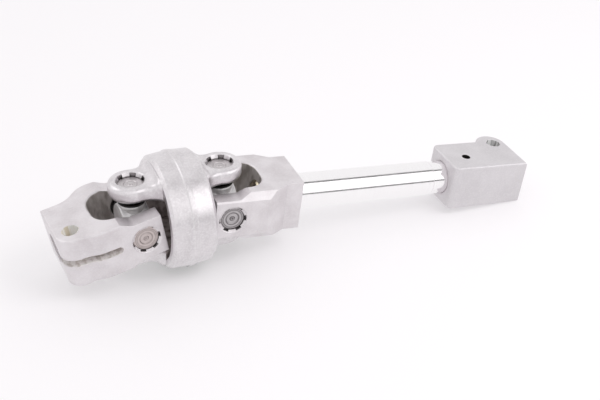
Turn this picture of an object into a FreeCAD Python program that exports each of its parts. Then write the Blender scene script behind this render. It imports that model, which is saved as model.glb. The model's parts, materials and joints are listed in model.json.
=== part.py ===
import FreeCAD
import Part
import os
from math import acos, asin, atan2, cos, degrees, floor, hypot, pi, radians, sin, tan

from FreeCAD import Placement, Rotation, Vector

# Steering universal joint: a clamp yoke and a shaft yoke, each on its own cross, held
# together by a centre ring. The shaft yoke carries a steel shaft that ends in a clamp block.
# Lengths are in mm, angles in degrees. The part lies on z = 0 as it comes to rest: on the
# ring and on the lower end edge of the block. The ring's axis runs along X, the shaft
# leaves it towards +X, and the front is the side towards -Y.

# How it lies
shaft_yaw = -2.9
clamp_yaw = 2.1
clamp_droop = 9.8

# Centre ring
ring_radius = 34.0
ring_width = 26.0
ring_wall = 7.4
ring_edge = 1.8
parting_band_width = 2.4
parting_band_height = 0.45
ring_draft = 0.7
cross_spacing = 52.3

# Ears of the centre ring, above and below
ring_ear_step = 8.8
ring_ear_thickness = 9.4
ring_ear_radius = 12.6
ring_ear_flare = 16.5
ring_ear_blend = 6.2
ring_ear_round = 3.1
ring_ear_tangent = 100.0

# Bearing cups, needle rollers and seals
cup_radius = 8.0
cup_length = 9.5
ring_cup_recess = 2.8
yoke_cup_recess = 1.4
cup_mouth_chamfer = 0.5
cup_wall = 1.0
cup_floor = 1.6
cup_corner = 1.1
cup_ring_radius = 3.4
cup_dimple_radius = 1.3
cup_stamp_depth = 0.35
needle_radius = 1.1
needle_play = 0.025
needle_side_play = 0.03
end_play = 0.2
seal_height = 1.3
seal_play = 0.2
seal_radius = 7.6

# Stakes that hold each cup, raised from the metal round the bore
stake_count = 6
stake_angle = 34.0
stake_turn = 15.0
stake_reach = 1.0
stake_lip = 0.5
stake_below_face = 0.4
stake_play = 0.05

# Crosses
cross_hub_step = 1.4
cross_hub_thickness = 16.0
cross_arm_radius = 7.5
cross_edge = 1.2
journal_chamfer = 0.6

# Forks, the same on both yokes
yoke_height = 30.7
yoke_ear_thickness = 9.3
window_depth = 22.2
window_flat = 6.6
window_chamfer = 0.8
ear_reach = 10.45
ear_relief_height = 12.0
ear_relief_slope = 26.0
ear_relief_blend = 5.0
punch_radius = 0.9
punch_depth = 0.45

# Shaft yoke
shaft_yoke_shoulder = 21.5
shaft_yoke_neck = 34.9
shaft_yoke_length = 44.7
neck_half_width = 15.9
shaft_relief_end = 10.5
ear_chamfer_side = 3.2
ear_chamfer_top = 4.3
shaft_punch = (38.2, -13.6)

# Clamp yoke
clamp_bore_radius = 8.75
clamp_bolt_x = 36.2
clamp_bolt_y = 10.9
clamp_bolt_radius = 4.6
clamp_boss_radius = 9.0
clamp_boss_height = 1.3
clamp_length = 45.2
clamp_front_width = 21.0
clamp_front_corner = 9.6
clamp_back_width = 17.1
clamp_back_bulge = 25.7
clamp_bulge_start = 3.0
clamp_bulge_top = 16.0
clamp_curve_near = 22.0
clamp_curve_far = 36.0
clamp_relief_end = 12.3
clamp_slit = 4.2
clamp_slit_end = 13.7
clamp_round = 1.2
clamp_punch = (40.4, -13.2)

# Steering shaft
shaft_radius = 10.7
spigot_radius = 9.0
spigot_rise = 1.0
shaft_length = 124.1
shaft_socket = 22.0
shaft_step_length = 10.2
shaft_step = 0.5
shaft_groove = 0.7
shaft_groove_depth = 0.35
shaft_chamfer = 1.0

# End block
block_length = 52.2
block_front = 16.4
block_back = 15.3
block_near_height = 29.6
block_far_height = 28.4
block_lug_radius = 9.9
block_lug_y = 12.1
block_bolt_setback = 8.9
block_bolt_y = 11.3
block_bolt_radius = 4.5
block_bore_radius = 8.6
block_slit = 3.0
block_slit_length = 21.0
block_pin_radius = 2.65
block_pin_x = 14.4
block_pin_y = -3.0
block_corner = 3.4
block_round = 1.4
block_mouth_chamfer = 0.4

# Worked out from the values above
half_spacing = cross_spacing / 2
half_height = yoke_height / 2
ring_bore_radius = ring_radius - ring_wall
ring_ear_face = ring_radius - ring_ear_step
cup_end = ring_ear_face - ring_cup_recess
yoke_half_width = cup_end + yoke_cup_recess
half_fork = yoke_half_width - yoke_ear_thickness
window_corner = half_fork - window_flat / 2
cup_inner_radius = cup_radius - cup_wall
journal_radius = cup_inner_radius - 2 * (needle_radius + needle_play)
needle_circle = journal_radius + needle_radius + needle_play
needle_count = floor(pi / asin((needle_radius + needle_side_play) / needle_circle))
cup_mouth = cup_end - cup_length
shoulder = cup_mouth - seal_play - seal_height
cross_hub_radius = shoulder - cross_hub_step
block_start = shaft_yoke_length + shaft_length - shaft_socket
block_end = block_start + block_length
half_near = block_near_height / 2
half_far = block_far_height / 2
reach = block_end

x_axis = Vector(1, 0, 0)
y_axis = Vector(0, 1, 0)
z_axis = Vector(0, 0, 1)


def box(x0, x1, y0, y1, z0, z1):
    return Part.makeBox(x1 - x0, y1 - y0, z1 - z0, Vector(x0, y0, z0))


def rod(radius, start, end):
    axis = end - start
    return Part.makeCylinder(radius, axis.Length, start, axis)


def line(a, b):
    return Part.LineSegment(a, b).toShape()


def arc(a, middle, b):
    return Part.Arc(a, middle, b).toShape()


def round_arc(center, radius, start_angle, end_angle, lift=0.0):
    """Arc in a plane z = lift, between two angles."""
    def point(angle):
        turn = radians(angle)
        return Vector(center[0] + radius * cos(turn), center[1] + radius * sin(turn), lift)
    return arc(point(start_angle), point((start_angle + end_angle) / 2), point(end_angle))


def tangent_arc(start, direction, end):
    """Arc that leaves start along direction and ends at end."""
    chord = end - start
    along = Vector(direction).normalize()
    normal = Vector(-along.y, along.x, 0)
    radius = chord.dot(chord) / (2 * chord.dot(normal))
    center = start + normal * radius
    middle = (start + end) * 0.5 - center
    middle.normalize()
    return arc(start, center + middle * abs(radius), end)


def s_curve(a, b):
    """Two equal arcs, level at both ends, from a to b."""
    middle = (a + b) * 0.5
    level = Vector(1 if b.x > a.x else -1, 0, 0)
    return [tangent_arc(a, level, middle), tangent_arc(b, level * -1, middle)]


def face_of(edges):
    return Part.Face(Part.Wire(Part.__sortEdges__(edges)))


def polygon(points):
    return Part.Face(Part.makePolygon(points + points[:1]))


def turned(profile):
    """Solid of revolution about Z from (radius, height) points."""
    face = polygon([Vector(radius, 0, height) for radius, height in profile])
    return face.revolve(Vector(0, 0, 0), z_axis, 360)


def edges_where(shape, test):
    return [edge for edge in shape.Edges if test(edge)]


def spun(profile_edges, angle=360):
    """Turns a profile drawn in the XZ plane about Z."""
    return face_of(profile_edges).revolve(Vector(0, 0, 0), z_axis, angle)


def all_round(shape, count):
    """Copies of a shape, evenly spaced about Z."""
    copies = []
    for index in range(count):
        copy = shape.copy()
        copy.rotate(Vector(0, 0, 0), z_axis, 360 * index / count)
        copies.append(copy)
    return copies


def pointed(shape, direction, center=Vector(0, 0, 0)):
    """A shape made along +Z, turned to point along direction from center."""
    copy = shape.copy()
    copy.Placement = Placement(center, Rotation(z_axis, direction)).multiply(copy.Placement)
    return copy


# One trunnion's own pieces, made along +Z from the centre of the cross


def bearing_cup():
    """Drawn cup: flat end with a rounded edge, stamped rings and a centre dimple."""
    inner_end = cup_end - cup_floor
    stamp = cup_end - cup_stamp_depth
    profile = [
        line(Vector(0, 0, inner_end), Vector(cup_inner_radius, 0, inner_end)),
        line(Vector(cup_inner_radius, 0, inner_end), Vector(cup_inner_radius, 0, cup_mouth)),
        line(Vector(cup_inner_radius, 0, cup_mouth), Vector(cup_radius, 0, cup_mouth)),
        line(Vector(cup_radius, 0, cup_mouth), Vector(cup_radius, 0, cup_end - cup_corner)),
    ]
    corner = Vector(cup_radius - cup_corner, 0, cup_end - cup_corner)
    middle = corner + Vector(cos(pi / 4), 0, sin(pi / 4)) * cup_corner
    profile.append(arc(Vector(cup_radius, 0, corner.z), middle, Vector(corner.x, 0, cup_end)))
    top = [
        Vector(corner.x, 0, cup_end),
        Vector(cup_ring_radius + cup_stamp_depth, 0, cup_end),
        Vector(cup_ring_radius, 0, stamp),
        Vector(cup_dimple_radius + cup_stamp_depth, 0, stamp),
        Vector(cup_dimple_radius, 0, cup_end),
        Vector(0, 0, stamp),
        Vector(0, 0, inner_end),
    ]
    profile += [line(a, b) for a, b in zip(top, top[1:])]
    return spun(profile)


def needle_rollers():
    """Full ring of rollers between the journal and the cup."""
    start = Vector(needle_circle, 0, cup_mouth + end_play)
    end = Vector(needle_circle, 0, cup_end - cup_floor - end_play)
    return Part.makeCompound(all_round(rod(needle_radius, start, end), needle_count))


def trunnion_seal():
    """Rubber ring with a lip groove, seated on the shoulder of the cross."""
    inner = journal_radius
    groove = (seal_radius + inner) / 2
    lip = seal_height / 3
    return turned([
        (inner, shoulder),
        (seal_radius, shoulder),
        (seal_radius, shoulder + seal_height),
        (groove + lip, shoulder + seal_height),
        (groove, shoulder + seal_height - lip),
        (groove - lip, shoulder + seal_height),
        (inner, shoulder + seal_height),
    ])


def trunnion():
    """Shouldered arm of the cross with a ground journal."""
    end = cup_end - cup_floor - end_play
    return turned([
        (0, 0),
        (cross_arm_radius, 0),
        (cross_arm_radius, shoulder - cross_edge),
        (cross_arm_radius - cross_edge / 2, shoulder),
        (journal_radius, shoulder),
        (journal_radius, end - journal_chamfer),
        (journal_radius - journal_chamfer, end),
        (journal_radius / 3, end),
        (0, end - journal_radius / 3),
    ])


def cup_bore(face):
    """Room for a cup, through the ear and past both of its faces, with a chamfered mouth."""
    bore = rod(cup_radius, Vector(0, 0, half_fork / 2), Vector(0, 0, ring_radius * 2))
    start = Vector(0, 0, face - cup_mouth_chamfer)
    height = 2 * cup_mouth_chamfer
    return bore.fuse(Part.makeCone(cup_radius, cup_radius + height, height, start, z_axis))


def stakes(face):
    """Metal of an ear pushed over the cup's rounded edge, from just below the ear's face."""
    center = Vector(cup_radius - cup_corner, 0, cup_end - cup_corner)
    radius = cup_corner + stake_play
    high = acos((cup_corner - stake_reach) / radius)

    def on_corner(turn):
        return center + Vector(cos(turn), 0, sin(turn)) * radius
    low = on_corner(0)
    inner = on_corner(high)
    lip = inner + z_axis * stake_lip
    top = face - stake_below_face
    outer = cup_radius + cup_corner / 2
    profile = [
        arc(low, on_corner(high / 2), inner),
        line(inner, lip),
        line(lip, Vector(cup_radius, 0, top)),
        line(Vector(cup_radius, 0, top), Vector(outer, 0, top)),
        line(Vector(outer, 0, top), Vector(outer, 0, low.z)),
        line(Vector(outer, 0, low.z), low),
    ]
    stake = spun(profile, stake_angle)
    stake.rotate(Vector(0, 0, 0), z_axis, stake_turn)
    return all_round(stake, stake_count)


def bored_ear(solid, face, direction, center=Vector(0, 0, 0)):
    """Cuts a cup's bore into an ear whose outer face lies at a distance, and raises the stakes."""
    bored = solid.cut(pointed(cup_bore(face), direction, center))
    return bored.fuse([pointed(stake, direction, center) for stake in stakes(face)])


# Crosses


def cross():
    """Forged spider: a round hub and four trunnions, along Y and Z."""
    half = cross_hub_thickness / 2
    hub = rod(cross_hub_radius, Vector(-half, 0, 0), Vector(half, 0, 0))
    hub = hub.makeFillet(cross_edge, edges_where(hub, lambda e: e.Curve.TypeId == "Part::GeomCircle"))
    arms = [pointed(trunnion(), direction) for direction in (z_axis, z_axis * -1, y_axis, y_axis * -1)]
    return hub.fuse(arms).removeSplitter()


# Centre ring


def ring_body():
    """Forged ring with drafted sides and a raised parting band, about X."""
    half = ring_width / 2
    body = ring_radius - parting_band_height
    band = parting_band_width / 2
    rim = body - ring_draft - ring_edge
    half_profile = [
        (ring_bore_radius + ring_edge / 2, half),
        (rim, half),
        (rim + ring_edge, half - ring_edge),
        (body, band + parting_band_height),
        (ring_radius, band),
    ]
    mirrored = [(radius, -height) for radius, height in reversed(half_profile)]
    inside = [(ring_bore_radius, -half + ring_edge / 2), (ring_bore_radius, half - ring_edge / 2)]
    ring = turned(half_profile + mirrored + inside)
    return pointed(ring, x_axis)


def ear_outline(lift):
    """Half of the ears' plan on +X, with the flare towards the ring, as edges."""
    center = Vector(half_spacing, 0, lift)
    root = Vector(ring_width / 2, ring_ear_flare, lift)
    turn = radians(ring_ear_tangent)
    outward = Vector(cos(turn), sin(turn), 0)
    touch = center + outward * ring_ear_radius
    span = touch - root
    blend = -span.dot(span) / (2 * span.dot(outward))
    blend_center = touch + outward * blend
    middle = (root + touch) * 0.5 - blend_center
    middle.normalize()
    upper = arc(root, blend_center + middle * blend, touch)
    tip = arc(touch, center + x_axis * ring_ear_radius, Vector(touch.x, -touch.y, lift))
    lower = upper.mirror(Vector(0, 0, 0), y_axis)
    side = line(Vector(0, ring_ear_flare, lift), root)
    edges = [upper, tip, lower, side, side.mirror(Vector(0, 0, 0), y_axis)]
    return edges


def ear_plate(low, high):
    """Both ears of one side, in plan, as one plate through the ring."""
    edges = ear_outline(low)
    edges += [edge.mirror(Vector(0, 0, 0), x_axis) for edge in edges]
    return face_of(edges).extrude(z_axis * (high - low))


def ear_gusset():
    """Concave rise from the outer face of the ears to the rim of the ring."""
    near = ring_width / 2
    far = near + ring_ear_blend
    top = ring_ear_face + ring_ear_blend
    bottom = ring_ear_face - ring_ear_thickness / 2
    wide = ring_ear_flare + 1
    center = Vector(far, -wide, top)
    middle = center - Vector(1, 0, 1).normalize() * ring_ear_blend
    edges = [
        line(Vector(0, -wide, bottom), Vector(far, -wide, bottom)),
        line(Vector(far, -wide, bottom), Vector(far, -wide, ring_ear_face)),
        arc(Vector(far, -wide, ring_ear_face), middle, Vector(near, -wide, top)),
        line(Vector(near, -wide, top), Vector(0, -wide, top)),
        line(Vector(0, -wide, top), Vector(0, -wide, bottom)),
    ]
    rise = face_of(edges).extrude(y_axis * (2 * wide))
    return rise.fuse(rise.mirror(Vector(0, 0, 0), x_axis)).removeSplitter()


def ring_ears():
    """Both ears of one side, with the rise to the ring, and all of their rims rounded."""
    low = ring_ear_face - ring_ear_thickness
    under_rim = ring_radius - parting_band_height - ring_draft - ring_edge
    rise = ear_gusset().common(ear_plate(low + ring_ear_thickness / 2, ring_radius))
    rise = rise.common(rod(under_rim, x_axis * -reach, x_axis * reach))
    ears = ear_plate(low, ring_ear_face).fuse(rise).removeSplitter()

    def on_rim(edge):
        middle = edge.valueAt((edge.FirstParameter + edge.LastParameter) / 2)
        outside = abs(middle.x) > ring_width / 2 - ring_edge
        level = edge.BoundBox.ZLength < 0.01 or middle.z > ring_ear_face
        across = edge.BoundBox.XLength > 0.01
        return outside and level and across
    return ears.makeFillet(ring_ear_round, edges_where(ears, on_rim))


def centre_ring():
    ring = ring_body()
    for turn in (0, 180):
        ears = ring_ears()
        ears.rotate(Vector(0, 0, 0), x_axis, turn)
        ring = ring.fuse(ears)
    for x in (half_spacing, -half_spacing):
        for direction in (z_axis, z_axis * -1):
            ring = bored_ear(ring, ring_ear_face, direction, Vector(x, 0, 0))
    return ring.removeSplitter()


# Yokes, both made with the cross at the origin and the body towards +X


def window_outline(lift, grow):
    """Outline of the gap between the ears, wider all round by grow."""
    side = half_fork + grow
    end = window_depth + grow
    corner = window_corner + grow
    upper = round_arc((end - corner, side - corner), corner, 0, 90, lift)
    edges = [
        upper,
        upper.mirror(Vector(0, 0, 0), y_axis),
        line(Vector(end, side - corner, lift), Vector(end, corner - side, lift)),
        line(Vector(end - corner, side, lift), Vector(-reach, side, lift)),
        line(Vector(end - corner, -side, lift), Vector(-reach, -side, lift)),
        line(Vector(-reach, side, lift), Vector(-reach, -side, lift)),
    ]
    return Part.Wire(Part.__sortEdges__(edges))


def fork_window():
    """Open gap between the ears, rounded at its closed end, with chamfered rims."""
    top = half_height + window_chamfer
    gap = Part.Face(window_outline(-top, 0)).extrude(z_axis * (2 * top))
    inner = window_outline(half_height - window_chamfer, 0)
    rim = Part.makeLoft([inner, window_outline(top, 2 * window_chamfer)], True, True)
    return gap.fuse([rim, rim.mirror(Vector(0, 0, 0), z_axis)])


def ear_relief(end):
    """Room for the ring's ears: the tips of the yoke's ears are lower, up to a ramp that
    reaches the full height at x = end."""
    turn = radians(ear_relief_slope)
    rise = half_height - ear_relief_height
    curved = Vector(sin(turn), 0, 1 - cos(turn)) * ear_relief_blend
    foot = Vector(end - (rise - curved.z) / tan(turn) - curved.x, -reach, ear_relief_height)
    middle = foot + Vector(sin(turn / 2), 0, 1 - cos(turn / 2)) * ear_relief_blend
    ramp = foot + curved
    high = ramp + Vector(cos(turn), 0, sin(turn)) * half_height
    edges = [
        line(Vector(-reach, -reach, ear_relief_height), foot),
        arc(foot, middle, ramp),
        line(ramp, high),
        line(high, Vector(-reach, -reach, high.z)),
        line(Vector(-reach, -reach, high.z), Vector(-reach, -reach, ear_relief_height)),
    ]
    top = face_of(edges).extrude(y_axis * (2 * reach))
    return top.fuse(top.mirror(Vector(0, 0, 0), z_axis))


def forked(body, relief_end):
    """Cuts the fork into a yoke's body and bores its ears."""
    yoke = body.cut(fork_window()).cut(ear_relief(relief_end))
    for direction in (y_axis, y_axis * -1):
        yoke = bored_ear(yoke, yoke_half_width, direction)
    return yoke.removeSplitter()


def punch_mark(place):
    """Round dent of a centre punch in a yoke's upper face."""
    ball = (punch_radius ** 2 + punch_depth ** 2) / (2 * punch_depth)
    center = Vector(place[0], place[1], half_height + ball - punch_depth)
    return Part.makeSphere(ball, center)


def shaft_yoke():
    outline = [
        Vector(-ear_reach, yoke_half_width, -half_height),
        Vector(shaft_yoke_shoulder, yoke_half_width, -half_height),
        Vector(shaft_yoke_neck, neck_half_width, -half_height),
        Vector(shaft_yoke_length, neck_half_width, -half_height),
    ]
    outline += [Vector(point.x, -point.y, point.z) for point in reversed(outline)]
    plan = polygon(outline).extrude(z_axis * yoke_height)
    side = yoke_half_width - ear_chamfer_side
    top = half_height - ear_chamfer_top
    section = [
        Vector(-ear_reach, side, half_height),
        Vector(-ear_reach, yoke_half_width, top),
        Vector(-ear_reach, yoke_half_width, -top),
        Vector(-ear_reach, side, -half_height),
    ]
    section += [Vector(point.x, -point.y, point.z) for point in reversed(section)]
    body = plan.common(polygon(section).extrude(x_axis * reach))
    socket = rod(spigot_radius, Vector(0, 0, 0), Vector(reach, 0, 0))
    return forked(body, shaft_relief_end).cut([socket, punch_mark(shaft_punch)])


def clamp_yoke():
    """Clamp yoke, body towards +X. It is turned round when it is placed."""
    low = -half_height
    tip = -ear_reach
    corner = clamp_front_corner
    corner_center = (clamp_length - corner, clamp_front_width - corner)
    front_near = Vector(clamp_curve_near, yoke_half_width, low)
    front_far = Vector(corner_center[0], clamp_front_width, low)
    back_near = Vector(clamp_bulge_start, -yoke_half_width, low)
    back_top = Vector(clamp_bulge_top, -clamp_back_bulge, low)
    back_far = Vector(clamp_curve_far, -clamp_back_width, low)
    edges = [line(Vector(tip, yoke_half_width, low), front_near)]
    edges += s_curve(front_near, front_far)
    edges += [
        round_arc(corner_center, corner, 90, 0, low),
        line(Vector(clamp_length, corner_center[1], low), Vector(clamp_length, -clamp_back_width, low)),
        line(Vector(clamp_length, -clamp_back_width, low), back_far),
    ]
    edges += s_curve(back_far, back_top)
    edges += s_curve(back_top, back_near)
    edges += [
        line(back_near, Vector(tip, -yoke_half_width, low)),
        line(Vector(tip, -yoke_half_width, low), Vector(tip, yoke_half_width, low)),
    ]
    body = face_of(edges).extrude(z_axis * yoke_height)
    rim = edges_where(body, lambda e: abs(e.BoundBox.ZLength) < 0.01
                      and e.CenterOfMass.x > tip / 2 and e.CenterOfMass.x < clamp_length - 0.01)
    body = body.makeFillet(clamp_round, rim)
    seat = Vector(clamp_bolt_x, clamp_bolt_y, low - clamp_boss_height)
    boss = rod(clamp_boss_radius, seat, Vector(clamp_bolt_x, clamp_bolt_y, 0))
    boss = boss.makeFillet(clamp_boss_height / 2, edges_where(boss, lambda e: e.CenterOfMass.z < low))
    body = body.fuse(boss)
    bore = rod(clamp_bore_radius, Vector(0, 0, 0), Vector(reach, 0, 0))
    bolt = rod(clamp_bolt_radius, Vector(clamp_bolt_x, clamp_bolt_y, -reach),
               Vector(clamp_bolt_x, clamp_bolt_y, reach))
    half_slit = clamp_slit / 2
    slit_round = clamp_slit_end + half_slit
    slit = box(slit_round, reach, 0, reach, -half_slit, half_slit)
    slit = slit.fuse(rod(half_slit, Vector(slit_round, 0, 0), Vector(slit_round, reach, 0)))
    return forked(body, clamp_relief_end).cut([bore, bolt, slit, punch_mark(clamp_punch)])


# Shaft and end block, along +X from the centre of the shaft yoke's cross


def steering_shaft():
    tip = block_start + shaft_socket
    step = tip - shaft_socket - shaft_step_length
    thin = shaft_radius - shaft_step
    groove = shaft_radius - shaft_step - shaft_groove_depth
    spigot = window_depth - spigot_rise
    shaft = turned([
        (0, spigot),
        (spigot_radius - shaft_chamfer, spigot),
        (spigot_radius, spigot + shaft_chamfer),
        (spigot_radius, shaft_yoke_length),
        (shaft_radius, shaft_yoke_length),
        (shaft_radius, step),
        (groove, step),
        (groove, step + shaft_groove),
        (thin, step + shaft_groove),
        (thin, tip - shaft_chamfer),
        (thin - shaft_chamfer, tip),
        (0, tip),
    ])
    return pointed(shaft, x_axis)


def end_block():
    """Clamp block with a lug at its far end, a little lower there than at the shaft."""
    start = block_start
    end = block_end
    round_x = start + block_corner
    back_round = block_back - block_corner
    front_round = block_corner - block_front
    lug_x = end - block_lug_radius
    lug_turn = degrees(asin((block_back - block_lug_y) / block_lug_radius))
    low = -half_near
    lug_start = Vector(lug_x - block_lug_radius * cos(radians(lug_turn)), block_back, low)
    edges = [
        round_arc((round_x, back_round), block_corner, 180, 90, low),
        line(Vector(round_x, block_back, low), lug_start),
        round_arc((lug_x, block_lug_y), block_lug_radius, 180 - lug_turn, 0, low),
        line(Vector(end, block_lug_y, low), Vector(end, -block_front, low)),
        line(Vector(end, -block_front, low), Vector(round_x, -block_front, low)),
        round_arc((round_x, front_round), block_corner, 180, 270, low),
        line(Vector(start, back_round, low), Vector(start, front_round, low)),
    ]
    plan = face_of(edges).extrude(z_axis * block_near_height)
    wedge = polygon([
        Vector(start, -reach, half_near),
        Vector(end, -reach, half_far),
        Vector(end, -reach, -half_far),
        Vector(start, -reach, -half_near),
    ])
    block = plan.common(wedge.extrude(y_axis * (2 * reach)))
    block = block.makeFillet(block_round, edges_where(block, lambda e: e.BoundBox.ZLength < half_far))
    thin = shaft_radius - shaft_step
    socket = rod(thin, Vector(0, 0, 0), Vector(start + shaft_socket, 0, 0))
    wide = thin + block_mouth_chamfer
    mouth = Part.makeCone(wide, thin, block_mouth_chamfer, Vector(start, 0, 0), x_axis)
    bore = rod(block_bore_radius, Vector(start, 0, 0), Vector(reach * 2, 0, 0))
    bolt_x = end - block_bolt_setback
    bolt = rod(block_bolt_radius, Vector(bolt_x, block_bolt_y, -reach),
               Vector(bolt_x, block_bolt_y, reach))
    pin = rod(block_pin_radius, Vector(start + block_pin_x, block_pin_y, 0),
              Vector(start + block_pin_x, block_pin_y, reach))
    half_slit = block_slit / 2
    slit = box(end - block_slit_length, reach * 2, 0, reach, -half_slit, half_slit)
    return block.cut([socket, mouth, bore, bolt, pin, slit])


# Places: the ring's centre stands its radius above the floor


def tilt_of_shaft():
    """Angle at which the block's lower end edge touches the floor."""
    far = block_end - block_round
    taper = (half_near - half_far) / block_length
    down = half_far + taper * block_round - block_round
    return degrees(asin((ring_radius - block_round) / hypot(far, down)) - atan2(down, far))


def frame_of(side, yaw, pitch):
    """Frame of a cross or yoke: side is 1 at the shaft end and -1 at the clamp end."""
    center = Vector(side * half_spacing, 0, ring_radius)
    turn = Rotation(z_axis, yaw).multiply(Rotation(y_axis, pitch))
    return Placement(center, turn)


def moved(shape, frame):
    copy = shape.copy()
    copy.Placement = frame.multiply(copy.Placement)
    return copy


ring_frame = Placement(Vector(0, 0, ring_radius), Rotation())
half_turn = Placement(Vector(0, 0, 0), Rotation(z_axis, 180))
shaft_cross_frame = frame_of(1, shaft_yaw, 0)
shaft_frame = frame_of(1, shaft_yaw, tilt_of_shaft())
clamp_cross_frame = frame_of(-1, clamp_yaw, 0)
clamp_frame = frame_of(-1, clamp_yaw, -clamp_droop)


def build():
    """Every node, by name, in its resting place with the ring's centre over the origin."""
    nodes = {
        "clamp_yoke": moved(moved(clamp_yoke(), half_turn), clamp_frame),
        "centre_ring": moved(centre_ring(), ring_frame),
        "shaft_yoke": moved(shaft_yoke(), shaft_frame),
        "steering_shaft": moved(steering_shaft(), shaft_frame),
        "end_block": moved(end_block(), shaft_frame),
        "clamp_cross": moved(cross(), clamp_cross_frame),
        "shaft_cross": moved(cross(), shaft_cross_frame),
    }
    sides = {"top": z_axis, "bottom": z_axis * -1, "front": y_axis * -1, "back": y_axis}
    pieces = {"cup": bearing_cup(), "needles": needle_rollers(), "seal": trunnion_seal()}
    frames = {"clamp": (clamp_cross_frame, clamp_frame), "shaft": (shaft_cross_frame, shaft_frame)}
    for end, (cross_frame, yoke_frame) in frames.items():
        for side, direction in sides.items():
            in_ring = side in ("top", "bottom")
            for name, piece in pieces.items():
                frame = yoke_frame if name != "seal" and not in_ring else cross_frame
                if name != "seal" and in_ring:
                    frame = Placement(cross_frame.Base, Rotation())
                nodes[f"{end}_{side}_{name}"] = moved(pointed(piece, direction), frame)
    return nodes


def origin_shift(nodes):
    """Moves the middle of the part's box to x = 0, y = 0."""
    whole = Part.makeCompound(list(nodes.values()))
    box_all = whole.optimalBoundingBox(False, False)
    return Vector(-(box_all.XMin + box_all.XMax) / 2, -(box_all.YMin + box_all.YMax) / 2, 0)


def main():
    os.makedirs("parts", exist_ok=True)
    nodes = build()
    shift = Placement(origin_shift(nodes), Rotation())
    for name, shape in nodes.items():
        moved(shape, shift).exportStep(f"parts/{name}.step")


main()
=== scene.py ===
import json
import math
import bpy
import numpy as np
from mathutils import Matrix, Vector


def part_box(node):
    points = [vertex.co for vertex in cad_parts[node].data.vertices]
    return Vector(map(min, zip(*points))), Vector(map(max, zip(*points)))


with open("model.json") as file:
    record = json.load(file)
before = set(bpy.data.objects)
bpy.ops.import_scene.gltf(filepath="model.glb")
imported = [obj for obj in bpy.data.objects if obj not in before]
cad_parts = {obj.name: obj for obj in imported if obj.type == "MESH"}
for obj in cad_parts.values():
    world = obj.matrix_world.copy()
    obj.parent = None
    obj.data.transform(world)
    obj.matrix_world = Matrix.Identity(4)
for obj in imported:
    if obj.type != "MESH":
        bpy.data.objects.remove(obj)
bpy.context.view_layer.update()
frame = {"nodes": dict(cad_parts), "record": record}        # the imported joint, lying as it rests, in metres
nodes = frame["nodes"]
record = frame["record"]
mm = 0.001
print("stage: frame loaded,", len(nodes), "nodes")


def hexColour(text):       # sRGB hex to linear red, green, blue and alpha
    parts = np.array([int(text[i:i + 2], 16) for i in (1, 3, 5)]) / 255
    linear = np.where(parts <= 0.04045, parts / 12.92, ((parts + 0.055) / 1.055) ** 2.4)
    return (*[float(value) for value in linear], 1.0)


# Adds one shader node. links maps an input to a value or to another node's output. A Mix of
# colours has its share at input 0, its colours at 6 and 7 and its result at output 2. A Mix
# of numbers has its share at input 0, its numbers at 2 and 3 and its result at output 0.
def addNode(tree, kind, links=None, **settings):
    node = tree.nodes.new(kind)
    for name, value in settings.items():
        setattr(node, name, value)
    for name, value in (links or {}).items():
        socket = node.inputs[name]
        if isinstance(value, bpy.types.NodeSocket):
            tree.links.new(value, socket)
        else:
            socket.default_value = value
    return node


def newMaterial(name):     # an empty material and its node tree
    material = bpy.data.materials.new(name)
    material.use_nodes = True
    material.node_tree.nodes.clear()
    return material, material.node_tree


def place(nodeName):       # middle of a node's box
    low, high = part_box(nodeName)
    return (low + high) / 2


def mountOf(name):         # a mount of the record, with its place in metres and its axis
    return next(mount for mount in record["mounts"] if mount["name"] == name)


# Euler angles of a frame whose x and z axes point along two directions at right angles.
def frameTurn(alongX, alongZ):
    x, z = Vector(alongX).normalized(), Vector(alongZ).normalized()
    return Matrix((x, z.cross(x), z)).transposed().to_euler()


# Camera

cameraView = {
    "focalPixels": 1042.8,     # fitted to the photo, for a frame 600 pixels wide
    "frameWidth": 600,
    "azimuth": 26.29,          # degrees to the left of the front
    "elevation": 32.84,
    "roll": 2.19,
    "distance": 0.630,         # metres from the aim point
    "aimAlong": 0.07796,       # aim point, from the ring's centre along the shaft
    "aimHeight": 0.02018,      # and above the table
    "sensor": 36.0,
    "nearest": 0.01,
    "farthest": 50,
}


# Camera at an azimuth and elevation about a point on the shaft, rolled about its own axis.
def makeCamera(view):
    azimuth, elevation, roll = (math.radians(view[key]) for key in ("azimuth", "elevation", "roll"))
    back = Vector((-math.sin(azimuth) * math.cos(elevation),
                   -math.cos(azimuth) * math.cos(elevation), math.sin(elevation)))
    right = Vector((math.cos(azimuth), -math.sin(azimuth), 0))
    up = back.cross(right)
    rolledRight = right * math.cos(roll) + up * math.sin(roll)
    rolledUp = up * math.cos(roll) - right * math.sin(roll)
    aim = Vector((place("centre_ring").x + view["aimAlong"], 0, view["aimHeight"]))
    data = bpy.data.cameras.new("camera")
    data.sensor_fit = "HORIZONTAL"
    data.sensor_width = view["sensor"]
    data.lens = view["sensor"] * view["focalPixels"] / view["frameWidth"]
    data.clip_start = view["nearest"]
    data.clip_end = view["farthest"]
    camera = bpy.data.objects.new("camera", data)
    turn = Matrix((rolledRight, rolledUp, back)).transposed().to_4x4()
    camera.matrix_world = Matrix.Translation(aim + back * view["distance"]) @ turn
    bpy.context.scene.collection.objects.link(camera)
    bpy.context.scene.camera = camera


makeCamera(cameraView)
bpy.context.scene.view_settings.view_transform = "Standard"
print("stage: camera")

# Studio: a white table, a white tent over it with a soft panel in front, and a key light

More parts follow.
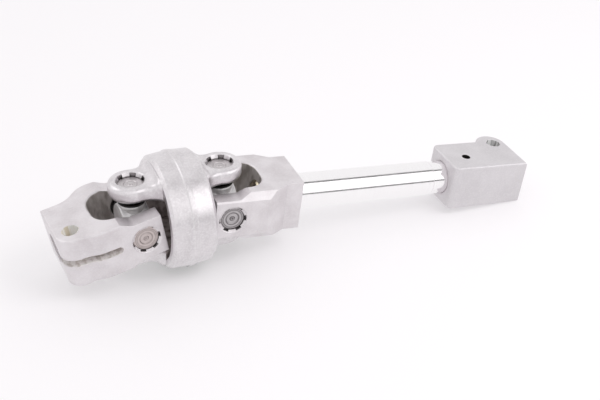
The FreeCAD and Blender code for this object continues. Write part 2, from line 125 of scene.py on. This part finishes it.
studio = {
    "tableSize": 4.0,
    "tableColour": "#F9F4F8",
    "tableRoughness": 0.85,
    "tableGlow": 0.40,         # share of plain white seen by the camera, which keeps shadows pale
    "tableGloss": 0.85,        # and by the gloss of the metal
    "skyLow": 0.48,            # matt light of the tent, from its dimmest to its brightest side
    "skyHigh": 1.14,
    "skyFrom": (0.30, 0.50, 0.81),   # direction of the brightest side
    "skyStart": -0.2,          # cosine from that direction up to which it is dimmest
    "outerLevel": 0.96,        # the tent as the gloss sees it
    "panelLevel": 1.30,        # and the soft panel in front of the object
    "coreLevel": 1.85,         # which is brighter in its middle
    "coreFrom": 0.045,         # the middle begins this far inside the panel's edge
    "coreSoft": 0.04,
    "edgeLevel": 0.10,         # dark edges of the panel
    "edgeWidth": 0.044,        # as a share of the half circle from the front over the top
    "edgeSoft": 0.012,
    "panelLow": 0.036,         # places of the panel's lower and upper edge
    "panelHigh": 0.400,
    "fadeFrom": 0.16,          # by its direction's x, the panel is full at fadeTo on the right
    "fadeTo": 0.38,            # and fades into the even tent down to fadeFrom,
    "fadeShare": 0.15,         # past which this much of it is left
    "spotToward": (-0.60, 0.40, 0.69),  # small lamp behind on the left, for the ears' rounds
    "spotLevel": 1.9,
    "spotEdge": (0.90, 0.97),  # cosines where it begins and where it is full
    "keySize": 0.5,
    "keyPower": 2.3,
    "keyPlace": (0.42, -0.42, 0.72),
}


# A square of matt white, mixed with plain white by the kind of ray that sees it.
def makeTable(values):
    half = values["tableSize"] / 2
    mesh = bpy.data.meshes.new("table")
    mesh.from_pydata([(-half, -half, 0), (half, -half, 0), (half, half, 0), (-half, half, 0)],
                     [], [(0, 1, 2, 3)])
    table = bpy.data.objects.new("table", mesh)
    bpy.context.scene.collection.objects.link(table)
    material, tree = newMaterial("white photo table")
    surface = addNode(tree, "ShaderNodeBsdfPrincipled",
                      {"Base Color": hexColour(values["tableColour"]),
                       "Roughness": values["tableRoughness"]})
    glow = addNode(tree, "ShaderNodeEmission", {"Color": (1, 1, 1, 1), "Strength": 1.0})
    ray = addNode(tree, "ShaderNodeLightPath")
    eye = addNode(tree, "ShaderNodeMath",
                  {0: ray.outputs["Is Camera Ray"], 1: values["tableGlow"]}, operation="MULTIPLY")
    share = addNode(tree, "ShaderNodeMath",
                    {0: ray.outputs["Is Glossy Ray"], 1: values["tableGloss"], 2: eye.outputs[0]},
                    operation="MULTIPLY_ADD")
    mix = addNode(tree, "ShaderNodeMixShader",
                  {0: share.outputs[0], 1: surface.outputs[0], 2: glow.outputs[0]})
    addNode(tree, "ShaderNodeOutputMaterial", {"Surface": mix.outputs[0]})
    mesh.materials.append(material)


# World light. The camera sees plain white. Matt surfaces get a sky that is brightest towards
# one side, by the cosine from that side. Gloss sees an even tent with a soft panel in front,
# which has thin dark edges and a brighter middle, and a small lamp behind on the left.
# A direction's place is its angle from the front horizon over the top to the back, as a share
# of the half circle. The panel is where the distance inward from both of its edges is above
# zero, and a ramp over that distance, with zero at its middle, gives the levels.
def makeTent(values):
    world = bpy.data.worlds.new("tent")
    world.use_nodes = True
    tree = world.node_tree
    tree.nodes.clear()
    where = addNode(tree, "ShaderNodeTexCoord").outputs["Generated"]
    parts = addNode(tree, "ShaderNodeSeparateXYZ", {0: where})
    front = addNode(tree, "ShaderNodeMath", {0: parts.outputs["Y"], 1: -1.0},
                    operation="MULTIPLY")
    angle = addNode(tree, "ShaderNodeMath", {0: parts.outputs["Z"], 1: front.outputs[0]},
                    operation="ARCTAN2")
    turn = addNode(tree, "ShaderNodeMath", {0: angle.outputs[0], 1: math.pi}, operation="DIVIDE")
    inward = []
    for start, sign in ((values["panelLow"], 1), (values["panelHigh"], -1)):
        inward.append(addNode(tree, "ShaderNodeMath",
                              {0: turn.outputs[0], 1: sign, 2: -sign * start},
                              operation="MULTIPLY_ADD"))
    inside = addNode(tree, "ShaderNodeMath", {0: inward[0].outputs[0], 1: inward[1].outputs[0]},
                     operation="MINIMUM")
    middle = 0.5
    ramp = addNode(tree, "ShaderNodeMapRange",
                   {"Value": inside.outputs[0], "From Min": -middle, "From Max": middle})
    levels = addNode(tree, "ShaderNodeValToRGB", {0: ramp.outputs[0]})
    edge, soft = values["edgeWidth"], values["edgeSoft"]
    top, core = values["coreLevel"], middle + values["coreFrom"]   # levels are shares of the top
    outer, dark, panel = (values[key] / top for key in ("outerLevel", "edgeLevel", "panelLevel"))
    stops = [(0.0, outer), (middle - edge - soft, outer), (middle - edge, dark), (middle, dark),
             (middle + soft, panel), (core, panel), (core + values["coreSoft"], 1.0)]
    while len(levels.color_ramp.elements) < len(stops):
        levels.color_ramp.elements.new(middle)
    for element, (position, level) in zip(levels.color_ramp.elements, stops):
        element.position = position
        element.color = (level, level, level, 1)
    share = addNode(tree, "ShaderNodeMapRange",
                    {"Value": parts.outputs["X"], "From Min": values["fadeFrom"],
                     "From Max": values["fadeTo"], "To Min": values["fadeShare"]})
    faded = addNode(tree, "ShaderNodeMix",
                    {0: share.outputs[0], 6: (outer, outer, outer, 1), 7: levels.outputs["Color"]},
                    data_type="RGBA")
    aside = addNode(tree, "ShaderNodeVectorMath", {0: where, 1: values["spotToward"]},
                    operation="DOT_PRODUCT")
    low, high = values["spotEdge"]
    spot = addNode(tree, "ShaderNodeMapRange",
                   {"Value": aside.outputs["Value"], "From Min": low, "From Max": high,
                    "To Max": values["spotLevel"] / top})
    lit = addNode(tree, "ShaderNodeMix", {0: 1.0, 6: faded.outputs[2], 7: spot.outputs[0]},
                  data_type="RGBA", blend_type="LIGHTEN")
    gloss = addNode(tree, "ShaderNodeBackground", {"Color": lit.outputs[2], "Strength": top})
    toward = addNode(tree, "ShaderNodeVectorMath", {0: where, 1: values["skyFrom"]},
                     operation="DOT_PRODUCT")
    sky = addNode(tree, "ShaderNodeMapRange",
                  {"Value": toward.outputs["Value"], "From Min": values["skyStart"],
                   "To Min": values["skyLow"], "To Max": values["skyHigh"]})
    matt = addNode(tree, "ShaderNodeBackground",
                   {"Color": (1, 1, 1, 1), "Strength": sky.outputs[0]})
    seen = addNode(tree, "ShaderNodeBackground", {"Color": (1, 1, 1, 1), "Strength": 1.0})
    ray = addNode(tree, "ShaderNodeLightPath")
    byGloss = addNode(tree, "ShaderNodeMixShader",
                      {0: ray.outputs["Is Glossy Ray"], 1: matt.outputs[0], 2: gloss.outputs[0]})
    byEye = addNode(tree, "ShaderNodeMixShader",
                    {0: ray.outputs["Is Camera Ray"], 1: byGloss.outputs[0], 2: seen.outputs[0]})
    addNode(tree, "ShaderNodeOutputWorld", {"Surface": byEye.outputs[0]})
    bpy.context.scene.world = world


# A square lamp that points at the ring and gives the object its soft shadow on the table.
def makeKey(values):
    data = bpy.data.lights.new("key", "AREA")
    data.size = values["keySize"]
    data.energy = values["keyPower"]
    key = bpy.data.objects.new("key", data)
    spot = Vector(values["keyPlace"])
    aim = (place("centre_ring") - spot).to_track_quat("-Z", "Y").to_matrix().to_4x4()
    key.matrix_world = Matrix.Translation(spot) @ aim
    key.visible_glossy = False     # the metal mirrors the tent alone
    bpy.context.scene.collection.objects.link(key)


makeTable(studio)
makeTent(studio)
makeKey(studio)
print("stage: studio")


# A zone of a piece, such as a hole's wall, where it looks different, is a box with rounded
# sides. The distance out of its core box, along the three axes together, is compared with its
# radius, and the mask falls from 1 to 0 over a thin margin past it. Its lengths are in mm.
def zoneMask(tree, where, zone):
    local = addNode(tree, "ShaderNodeMapping",
                    {"Vector": where, "Location": zone["centre"], "Rotation": zone["turn"]},
                    vector_type="TEXTURE")
    size = addNode(tree, "ShaderNodeVectorMath", {0: local.outputs[0]}, operation="ABSOLUTE")
    core = tuple(length * mm for length in zone["core"])
    out = addNode(tree, "ShaderNodeVectorMath", {0: size.outputs[0], 1: core},
                  operation="SUBTRACT")
    out = addNode(tree, "ShaderNodeVectorMath", {0: out.outputs[0], 1: (0, 0, 0)},
                  operation="MAXIMUM")
    far = addNode(tree, "ShaderNodeVectorMath", {0: out.outputs[0]}, operation="LENGTH")
    edge = zone["radius"] * mm
    mask = addNode(tree, "ShaderNodeMapRange",
                   {"Value": far.outputs["Value"], "From Min": edge + zone["margin"] * mm,
                    "From Max": edge + 2 * zone["margin"] * mm, "To Min": 1.0, "To Max": 0.0})
    return mask.outputs[0], local.outputs[0]


forkInsideShade = {                 # painted shade between the ears: dark brown grey
    "light": "#C9C3C0",
    "dark": "#98918C",
    "metallic": 0.35,
    "roughness": 0.45,
    "streak": (6.0, 6.0, 14.0),     # mm between streaks along the zone's x, y and z
    "streakDetail": 3.0,
    "streakSpan": (0.46, 0.62),     # noise over which light turns to dark
    "margin": 0.12,                 # mm that the zone reaches past the wall
}
# painted light in the drilled hole: white and matt where light reaches in, with a yellow film, streaked along
# the drill
drilledWall = dict(forkInsideShade, light="#FFFFFF", dark="#DED4C2", metallic=0.0,
                   streak=(1.6, 1.6, 30.0), margin=0.10)
# the same painted light in the slit, over saw marks that run across it
sawnWall = dict(drilledWall, light="#F6F2F1", dark="#D0C9C5", streak=(2.6, 4.0, 4.0))
# painted light and shade on the drilled wall of the block's bolt hole: white and grey streaks
boltWall = dict(drilledWall, light="#FFFFFF", dark="#807B7B", streak=(1.9, 1.9, 30.0))
# painted shade in the ring's bore: a darker brown grey
ringInsideShade = dict(forkInsideShade, light="#A39997", dark="#6A605E", metallic=0.5)
# painted light in the turned mouth of the block: pale satin over the shade of the gap round the shaft
mouthWall = dict(forkInsideShade, light="#D9D4D7", dark="#CCC7CA", metallic=0.4)
# deep narrow hole: its wall near black
pinHole = dict(forkInsideShade, light="#3A3533", dark="#1D1A19", margin=0.05)

forgingFinish = {              # zinc flake coat over a forging: matt silver, a little warm
    "light": "#E5E0E3",
    "dark": "#D8D2D5",
    "fleck": "#EEEBED",        # flakes that lie flat, drawn lighter as painted glints
    "fleckShare": 0.30,
    "bare": "#EFEDEE",         # edges rubbed bright
    # painted shade: the dark laid in nooks where little light reaches
    "paintedShade": "#3E3937",
    "metallic": 0.92,
    "roughness": (0.44, 0.56),
    "cloudSize": 11.0,         # mm
    "cloudSpan": (0.34, 0.66), # noise over which light turns to dark
    "fleckSize": 1.1,          # mm, drawn coarser than the real flakes so that they show
    "fleckSpan": (0.45, 0.72),
    "grainSize": 0.5,
    "grainSpan": (0.3, 0.7),
    "grainDepth": 0.010,
    "skinSize": 3.2,           # forging skin
    "skinDepth": 0.030,
    "edgeRound": 0.45,
    "edgeSamples": 6,
    "rubSpan": (0.995, 0.93),  # cosine of the edge's rounding, where rubbing begins and is full
    "paintedShadeReach": 2.4,
    "paintedShadeSamples": 8,
    "paintedShadeOpen": (0.10, 0.66), # openness at which the painted shade is full and gone
    "paintedShadeShare": 0.40,
}
forgingNoise = {               # detail and roughness of each layer's noise
    "cloud": (5.0, 0.55),
    "grain": (3.0, 0.65),
    "skin": (5.0, 0.6),
    "fleck": (2.0, 0.6),
}


# Coated forging: a cloudy coat with flecks drawn lighter as painted glints, grain and forging skin
# as bump, edges rubbed bright where the rounded normal leaves the face's own, and painted shade
# where little light comes.
def forging(name, values, zones=()):
    material, tree = newMaterial(name)
    where = addNode(tree, "ShaderNodeTexCoord").outputs["Object"]
    noise = {}
    for layer, (detail, coarse) in forgingNoise.items():
        noise[layer] = addNode(tree, "ShaderNodeTexNoise",
                               {"Vector": where, "Scale": 1 / (values[layer + "Size"] * mm),
                                "Detail": detail, "Roughness": coarse}).outputs[0]
    low, high = values["cloudSpan"]
    tone = addNode(tree, "ShaderNodeMapRange",
                   {"Value": noise["cloud"], "From Min": low, "From Max": high})
    colour = addNode(tree, "ShaderNodeMix",
                     {0: tone.outputs[0], 6: hexColour(values["light"]),
                      7: hexColour(values["dark"])}, data_type="RGBA")
    # painted glints: flecks of the coat drawn lighter
    low, high = values["fleckSpan"]
    flat = addNode(tree, "ShaderNodeMapRange",
                   {"Value": noise["fleck"], "From Min": low, "From Max": high,
                    "To Max": values["fleckShare"]})
    colour = addNode(tree, "ShaderNodeMix",
                     {0: flat.outputs[0], 6: colour.outputs[2], 7: hexColour(values["fleck"])},
                     data_type="RGBA")
    (low, high), (smooth, rough) = values["grainSpan"], values["roughness"]
    roughness = addNode(tree, "ShaderNodeMapRange",
                        {"Value": noise["grain"], "From Min": low, "From Max": high,
                         "To Min": smooth, "To Max": rough}).outputs[0]
    soft = addNode(tree, "ShaderNodeBevel", {"Radius": values["edgeRound"] * mm},
                   samples=values["edgeSamples"])
    face = addNode(tree, "ShaderNodeNewGeometry")
    along = addNode(tree, "ShaderNodeVectorMath", {0: soft.outputs[0], 1: face.outputs["Normal"]},
                    operation="DOT_PRODUCT")
    low, high = values["rubSpan"]
    edge = addNode(tree, "ShaderNodeMapRange",
                   {"Value": along.outputs["Value"], "From Min": low, "From Max": high})
    rubbed = addNode(tree, "ShaderNodeMath", {0: edge.outputs[0], 1: noise["cloud"]},
                     operation="MULTIPLY")
    colour = addNode(tree, "ShaderNodeMix",
                     {0: rubbed.outputs[0], 6: colour.outputs[2], 7: hexColour(values["bare"])},
                     data_type="RGBA")
    # painted shade: ambient occlusion darkens the colour where little light reaches
    nook = addNode(tree, "ShaderNodeAmbientOcclusion", {"Distance": values["paintedShadeReach"] * mm},
                   samples=values["paintedShadeSamples"])
    low, high = values["paintedShadeOpen"]
    nookShade = addNode(tree, "ShaderNodeMapRange",
                   {"Value": nook.outputs["AO"], "From Min": low, "From Max": high,
                    "To Min": values["paintedShadeShare"], "To Max": 0.0})
    colour = addNode(tree, "ShaderNodeMix",
                     {0: nookShade.outputs[0], 6: colour.outputs[2], 7: hexColour(values["paintedShade"])},
                     data_type="RGBA")
    metal = values["metallic"]
    for zone in zones:
        mask, local = zoneMask(tree, where, zone)
        if "within" in zone:
            inside, _ = zoneMask(tree, where, zone["within"])
            mask = addNode(tree, "ShaderNodeMath", {0: mask, 1: inside},
                           operation="MULTIPLY").outputs[0]
        steps = tuple(1 / (length * mm) for length in zone["streak"])
        squeezed = addNode(tree, "ShaderNodeVectorMath", {0: local, 1: steps},
                           operation="MULTIPLY")
        streak = addNode(tree, "ShaderNodeTexNoise",
                         {"Vector": squeezed.outputs[0], "Scale": 1.0,
                          "Detail": zone["streakDetail"]})
        low, high = zone["streakSpan"]
        shade = addNode(tree, "ShaderNodeMapRange",
                        {"Value": streak.outputs[0], "From Min": low, "From Max": high})
        wall = addNode(tree, "ShaderNodeMix",
                       {0: shade.outputs[0], 6: hexColour(zone["light"]),
                        7: hexColour(zone["dark"])}, data_type="RGBA")
        colour = addNode(tree, "ShaderNodeMix",
                         {0: mask, 6: colour.outputs[2], 7: wall.outputs[2]}, data_type="RGBA")
        metal = addNode(tree, "ShaderNodeMix",
                        {0: mask, 2: metal, 3: zone["metallic"]}).outputs[0]
        roughness = addNode(tree, "ShaderNodeMix",
                            {0: mask, 2: roughness, 3: zone["roughness"]}).outputs[0]
    normal = soft.outputs[0]
    for layer in ("skin", "grain"):
        normal = addNode(tree, "ShaderNodeBump",
                         {"Height": noise[layer], "Strength": 1.0,
                          "Distance": values[layer + "Depth"] * mm, "Normal": normal}).outputs[0]
    surface = addNode(tree, "ShaderNodeBsdfPrincipled",
                      {"Base Color": colour.outputs[2], "Metallic": metal, "Roughness": roughness,
                       "Normal": normal})
    addNode(tree, "ShaderNodeOutputMaterial", {"Surface": surface.outputs[0]})
    return material


# blasted before its coat: a rougher skin with bright flecks drawn as painted glints, and strong painted shade
# deep in its corners
ringFinish = dict(forgingFinish, light="#E1DCDF", dark="#D3CED1", paintedShadeReach=14.0,
                  paintedShadeShare=0.95, paintedShadeOpen=(0.28, 0.70), edgeRound=0.8, skinSize=1.7,
                  skinDepth=0.065, cloudSize=7.0, grainDepth=0.014, roughness=(0.28, 0.42),
                  fleck="#EFECEE", fleckShare=0.55)
# milled flat before its coat: even and matt, with no painted shade
blockFinish = dict(forgingFinish, light="#DEDADD", dark="#D6D2D5", skinDepth=0.015,
                   roughness=(0.50, 0.60), cloudSize=16.0, paintedShadeShare=0.0)
# ground steel under a film of grease: clean pale facets, with painted shade in the corners
spiderFinish = dict(forgingFinish, light="#EFEDEE", dark="#DAD7D8", roughness=(0.45, 0.55),
                    fleck="#F2F0F1", metallic=0.5, paintedShadeReach=3.0, paintedShadeShare=0.40)

barFinish = {                  # centreless ground steel bar, bright, with faint rings round it
    "colour": "#FFFEFF",
    "shade": "#F1EDEF",
    "tip": "#CDC1A9",          # cut end, seen in the fork's window
    "metallic": 1.0,
    "roughness": (0.10, 0.18),
    "ringSize": 0.30,          # mm between the grinding rings, drawn coarse
    "ringSpan": 40.0,          # mm over which a ring changes on its way round
    "ringNoise": (3.0, 0.7),   # detail and roughness
    "ringDepth": 0.0006,
    "smearSize": 7.0,
    "smearDetail": 4.0,
    "smearSpan": (0.3, 0.7),
}


# Ground steel: noise squeezed along the bar's axis into fine rings.
def groundBar(name, values, centre, turn, tip):
    material, tree = newMaterial(name)
    where = addNode(tree, "ShaderNodeTexCoord").outputs["Object"]
    turned = addNode(tree, "ShaderNodeMapping",
                     {"Vector": where, "Location": centre, "Rotation": turn},
                     vector_type="TEXTURE")
    ringStep, aroundStep = 1 / (values["ringSize"] * mm), 1 / (values["ringSpan"] * mm)
    squeezed = addNode(tree, "ShaderNodeMapping",
                       {"Vector": turned.outputs[0], "Scale": (ringStep, aroundStep, aroundStep)})
    detail, coarse = values["ringNoise"]
    rings = addNode(tree, "ShaderNodeTexNoise",
                    {"Vector": squeezed.outputs[0], "Scale": 1.0, "Detail": detail,
                     "Roughness": coarse})
    smear = addNode(tree, "ShaderNodeTexNoise",
                    {"Vector": where, "Scale": 1 / (values["smearSize"] * mm),
                     "Detail": values["smearDetail"]})
    colour = addNode(tree, "ShaderNodeMix",
                     {0: rings.outputs[0], 6: hexColour(values["colour"]),
                      7: hexColour(values["shade"])}, data_type="RGBA")
    mask, _ = zoneMask(tree, where, tip)
    colour = addNode(tree, "ShaderNodeMix",
                     {0: mask, 6: colour.outputs[2], 7: hexColour(values["tip"])},
                     data_type="RGBA")
    (low, high), (smooth, rough) = values["smearSpan"], values["roughness"]
    roughness = addNode(tree, "ShaderNodeMapRange",
                        {"Value": smear.outputs[0], "From Min": low, "From Max": high,
                         "To Min": smooth, "To Max": rough})
    bump = addNode(tree, "ShaderNodeBump", {"Height": rings.outputs[0], "Strength": 1.0,
                                            "Distance": values["ringDepth"] * mm})
    surface = addNode(tree, "ShaderNodeBsdfPrincipled",
                      {"Base Color": colour.outputs[2], "Metallic": values["metallic"],
                       "Roughness": roughness.outputs[0], "Normal": bump.outputs[0]})
    addNode(tree, "ShaderNodeOutputMaterial", {"Surface": surface.outputs[0]})
    return material


cupFinish = {                  # drawn and hardened steel cup, satin, with turned rings on its end
    "light": "#DCD7D9",
    "dark": "#C3BDBF",
    "metallic": 1.0,
    "roughness": (0.28, 0.42),
    "stainSize": 2.5,          # mm
    "stainDetail": 5.0,
    "stainSpan": (0.3, 0.7),
    "ringShade": "#8D8788",
    "ringShare": 0.35,         # how far the turned rings darken it
    "ringSize": 0.55,          # mm between the rings
    "ringDetail": 2.0,
    "ringSpan": (0.46, 0.60),
    "ringDepth": 0.008,
    "mouthShade": "#1C1918",   # oil and shadow at its open end
    "mouthReach": 2.2,
    "mouthSoft": 0.5,
    "rimShade": "#2E2A2A",     # shadow under the stakes, between these radii
    "rimFrom": (6.5, 6.8),
    "rimToward": (0.50, 0.0, -0.87),   # and on this side of the axis
    "rimSoft": 3.0,
    "rimShare": 0.0,           # how far that shadow darkens it
}
cupTones = {                   # the front cups are drawn browner and darker: painted shade of the cups that face the front
    "clamp_front": dict(cupFinish, light="#D6CBCA", dark="#BAAEAC", ringShade="#7F7573",
                        ringShare=0.6, ringSize=0.8, rimShare=0.9),
    "shaft_front": dict(cupFinish, light="#C8C4C6", dark="#ACA7A9", ringShade="#5C5658",
                        ringShare=0.9, ringSize=0.85, rimShare=0.9),
}


# Drawn cup: turned rings by the distance from its axis, a stain, its mouth dark by the
# distance along the axis, and its rim dark on one side. half is half the cup's length.
def drawnCup(name, values, centre, axis, half):
    material, tree = newMaterial(name)
    where = addNode(tree, "ShaderNodeTexCoord").outputs["Object"]
    turned = addNode(tree, "ShaderNodeMapping",
                     {"Vector": where, "Location": centre,
                      "Rotation": frameTurn(Vector(axis).orthogonal(), axis)},
                     vector_type="TEXTURE")
    flat = addNode(tree, "ShaderNodeVectorMath", {0: turned.outputs[0], 1: (1.0, 1.0, 0.0)},
                   operation="MULTIPLY")
    radius = addNode(tree, "ShaderNodeVectorMath", {0: flat.outputs[0]},
                     operation="LENGTH").outputs["Value"]
    step = addNode(tree, "ShaderNodeMath", {0: radius, 1: 1 / (values["ringSize"] * mm)},
                   operation="MULTIPLY")
    rings = addNode(tree, "ShaderNodeTexNoise",
                    {"W": step.outputs[0], "Scale": 1.0, "Detail": values["ringDetail"]},
                    noise_dimensions="1D")
    stain = addNode(tree, "ShaderNodeTexNoise",
                    {"Vector": where, "Scale": 1 / (values["stainSize"] * mm),
                     "Detail": values["stainDetail"]})
    colour = addNode(tree, "ShaderNodeMix",
                     {0: stain.outputs[0], 6: hexColour(values["light"]),
                      7: hexColour(values["dark"])}, data_type="RGBA")
    low, high = values["ringSpan"]
    ringTone = addNode(tree, "ShaderNodeMapRange",
                       {"Value": rings.outputs[0], "From Min": low, "From Max": high,
                        "To Max": values["ringShare"]})
    parts = addNode(tree, "ShaderNodeSeparateXYZ", {0: turned.outputs[0]})
    start = values["mouthReach"] * mm - half
    mouth = addNode(tree, "ShaderNodeMapRange",
                    {"Value": parts.outputs["Z"], "From Min": start,
                     "From Max": start - values["mouthSoft"] * mm})
    low, high = values["rimFrom"]
    rim = addNode(tree, "ShaderNodeMapRange",
                  {"Value": radius, "From Min": low * mm, "From Max": high * mm,
                   "To Max": values["rimShare"]})
    away = addNode(tree, "ShaderNodeVectorMath", {0: where, 1: centre}, operation="SUBTRACT")
    below = addNode(tree, "ShaderNodeVectorMath", {0: away.outputs[0], 1: values["rimToward"]},
                    operation="DOT_PRODUCT")
    side = addNode(tree, "ShaderNodeMapRange",
                   {"Value": below.outputs["Value"], "From Min": 0.0,
                    "From Max": values["rimSoft"] * mm})
    shadow = addNode(tree, "ShaderNodeMath", {0: rim.outputs[0], 1: side.outputs[0]},
                     operation="MULTIPLY")
    for share, shade in ((ringTone, "ringShade"), (mouth, "mouthShade"), (shadow, "rimShade")):
        colour = addNode(tree, "ShaderNodeMix",
                         {0: share.outputs[0], 6: colour.outputs[2], 7: hexColour(values[shade])},
                         data_type="RGBA")
    (low, high), (smooth, rough) = values["stainSpan"], values["roughness"]
    roughness = addNode(tree, "ShaderNodeMapRange",
                        {"Value": stain.outputs[0], "From Min": low, "From Max": high,
                         "To Min": smooth, "To Max": rough})
    bump = addNode(tree, "ShaderNodeBump", {"Height": rings.outputs[0], "Strength": 1.0,
                                            "Distance": values["ringDepth"] * mm})
    surface = addNode(tree, "ShaderNodeBsdfPrincipled",
                      {"Base Color": colour.outputs[2], "Metallic": values["metallic"],
                       "Roughness": roughness.outputs[0], "Normal": bump.outputs[0]})
    addNode(tree, "ShaderNodeOutputMaterial", {"Surface": surface.outputs[0]})
    return material


rollerFinish = {               # ground steel rollers packed in grease, drawn dark as painted shade under the ears, with small glints
    "light": "#8E8C8D",
    "dark": "#6C6A6B",
    "metallic": 1.0,
    "roughness": (0.12, 0.2),
    "size": 0.8,               # mm
    "detail": 4.0,
    "depth": 0.02,
}
# moulded nitrile rubber: black and dull
sealFinish = dict(rollerFinish, light="#141312", dark="#211F1E", metallic=0.0,
                  roughness=(0.55, 0.7), size=0.4, depth=0.01)


# Rollers and seals: two tones of one noise, which also gives the roughness and the bump.
def plainFinish(name, values):
    material, tree = newMaterial(name)
    where = addNode(tree, "ShaderNodeTexCoord").outputs["Object"]
    noise = addNode(tree, "ShaderNodeTexNoise",
                    {"Vector": where, "Scale": 1 / (values["size"] * mm),
                     "Detail": values["detail"]})
    colour = addNode(tree, "ShaderNodeMix",
                     {0: noise.outputs[0], 6: hexColour(values["light"]),
                      7: hexColour(values["dark"])}, data_type="RGBA")
    smooth, rough = values["roughness"]
    roughness = addNode(tree, "ShaderNodeMapRange",
                        {"Value": noise.outputs[0], "To Min": smooth, "To Max": rough})
    bump = addNode(tree, "ShaderNodeBump", {"Height": noise.outputs[0], "Strength": 1.0,
                                            "Distance": values["depth"] * mm})
    surface = addNode(tree, "ShaderNodeBsdfPrincipled",
                      {"Base Color": colour.outputs[2], "Metallic": values["metallic"],
                       "Roughness": roughness.outputs[0], "Normal": bump.outputs[0]})
    addNode(tree, "ShaderNodeOutputMaterial", {"Surface": surface.outputs[0]})
    return material


def dress(nodeName, material):       # gives a node its one material
    slots = nodes[nodeName].data.materials
    slots.clear()
    slots.append(material)


# Zones in each piece's own frame: x along its bore, z along its bolt hole. All in mm. A reach
# goes past the piece's own end, so that the zone runs right through it.

holeReach = 60                 # longer than any hole or bore
forkShape = {                  # from the middle of the cross
    "straightEnd": 11.0,       # where the rounded closed end begins
    "cornerPlace": 3.3,
    "cornerRadius": 11.2,
    "reach": 30.0,
    "slitStart": 15.8,         # middle of the slit's round end
    "slitHalf": 2.1,
}
blockShape = {                 # from the place of the block's bore in the record
    "mouthRadius": 11.3,       # socket of the shaft
    "pinPlace": (-22.8, -3.0, 0),
    "pinRadius": 2.65,
}
ringShape = {                  # from the ring's centre
    "boreRadius": 26.8,
    "halfWidth": 12.0,
    "corner": 0.6,
    "margin": 0.1,
}
tipShape = {"depth": 0.8, "corner": 0.3, "margin": 0.2, "reach": 30}   # from the bar's cut end


def zoneOf(finish, centre, turn, core, radius):     # a finish with its place, for zoneMask
    return dict(finish, centre=centre, turn=turn, core=core, radius=radius)


def forkZone(end, turn, values):     # from past a fork's open end to its rounded closed end
    reach = values["reach"]
    shift = turn.to_matrix() @ Vector((values["straightEnd"] - reach, 0, 0)) * mm
    # the zone carries the painted shade between the ears
    return zoneOf(forkInsideShade, place(f"{end}_cross") + shift, turn,
                  (reach, values["cornerPlace"], reach), values["cornerRadius"])


def slitZone(end, turn, values):     # from the slit's round end outwards
    reach = values["reach"]
    shift = turn.to_matrix() @ Vector((values["slitStart"] + reach, reach, 0)) * mm
    return zoneOf(sawnWall, place(f"{end}_cross") + shift, turn, (reach, reach, 0),
                  values["slitHalf"])


def holeZone(finish, mount, turn):   # the wall of a mount's hole, right through
    return zoneOf(finish, Vector(mount["pos_m"]), turn, (0, 0, holeReach), mount["dims"]["r_mm"])


clampBore, clampBolt = mountOf("clamp_bore"), mountOf("clamp_bolt_hole")
blockBore, blockBolt = mountOf("block_bore"), mountOf("block_bolt_hole")
clampTurn = frameTurn(clampBore["axis"], clampBolt["axis"])
shaftTurn = frameTurn(blockBore["axis"], blockBolt["axis"])
clampZones = [forkZone("clamp", clampTurn, forkShape), slitZone("clamp", clampTurn, forkShape),
              holeZone(drilledWall, clampBolt, clampTurn)]
borePlace = Vector(blockBore["pos_m"])
pinPlace = borePlace + shaftTurn.to_matrix() @ Vector(blockShape["pinPlace"]) * mm
blockZones = [zoneOf(mouthWall, borePlace, shaftTurn, (holeReach, 0, 0),
                     blockShape["mouthRadius"]),
              holeZone(boltWall, blockBolt, shaftTurn),
              zoneOf(pinHole, pinPlace, shaftTurn, (0, 0, holeReach), blockShape["pinRadius"])]
barStart = place("steering_shaft")
barStart.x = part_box("steering_shaft")[0].x
barTip = zoneOf({"margin": tipShape["margin"]}, barStart, shaftTurn,
                (tipShape["depth"], tipShape["reach"], tipShape["reach"]), tipShape["corner"])
level = (0, 0, 0)              # the ring's frame isn't turned
ringWidth = zoneOf({"margin": ringShape["margin"]}, place("centre_ring"), level,
                   (ringShape["halfWidth"], holeReach, holeReach), ringShape["corner"])
# painted shade over the ring's bore, within its width
ringHollowShade = dict(zoneOf(ringInsideShade, place("centre_ring"), level, (holeReach, 0, 0),
                         ringShape["boreRadius"]), within=ringWidth)

dress("clamp_yoke", forging("zinc flake coated clamp forging", forgingFinish, clampZones))
dress("shaft_yoke", forging("zinc flake coated fork forging", forgingFinish,
                            [forkZone("shaft", shaftTurn, forkShape)]))
dress("centre_ring", forging("blasted and coated ring forging", ringFinish, [ringHollowShade]))
dress("end_block", forging("zinc flake coated block", blockFinish, blockZones))
dress("steering_shaft", groundBar("centreless ground steel bar", barFinish,
                                  place("steering_shaft"), shaftTurn, barTip))
spiderSteel = forging("ground steel spider", spiderFinish)
rollerSteel = plainFinish("steel rollers in painted shade", rollerFinish)
sealRubber = plainFinish("nitrile rubber seal", sealFinish)
for end in ("clamp", "shaft"):
    dress(f"{end}_cross", spiderSteel)
    hub = place(f"{end}_cross")
    for side in ("top", "bottom", "front", "back"):
        cup = f"{end}_{side}"
        centre = place(f"{cup}_cup")
        low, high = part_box(f"{cup}_cup")
        half = abs((high - low).dot((centre - hub).normalized())) / 2
        dress(f"{cup}_cup", drawnCup(f"drawn steel cup {end} {side}",
                                     cupTones.get(cup, cupFinish), centre, centre - hub, half))
        dress(f"{cup}_needles", rollerSteel)
        dress(f"{cup}_seal", sealRubber)
print("stage: finishes")
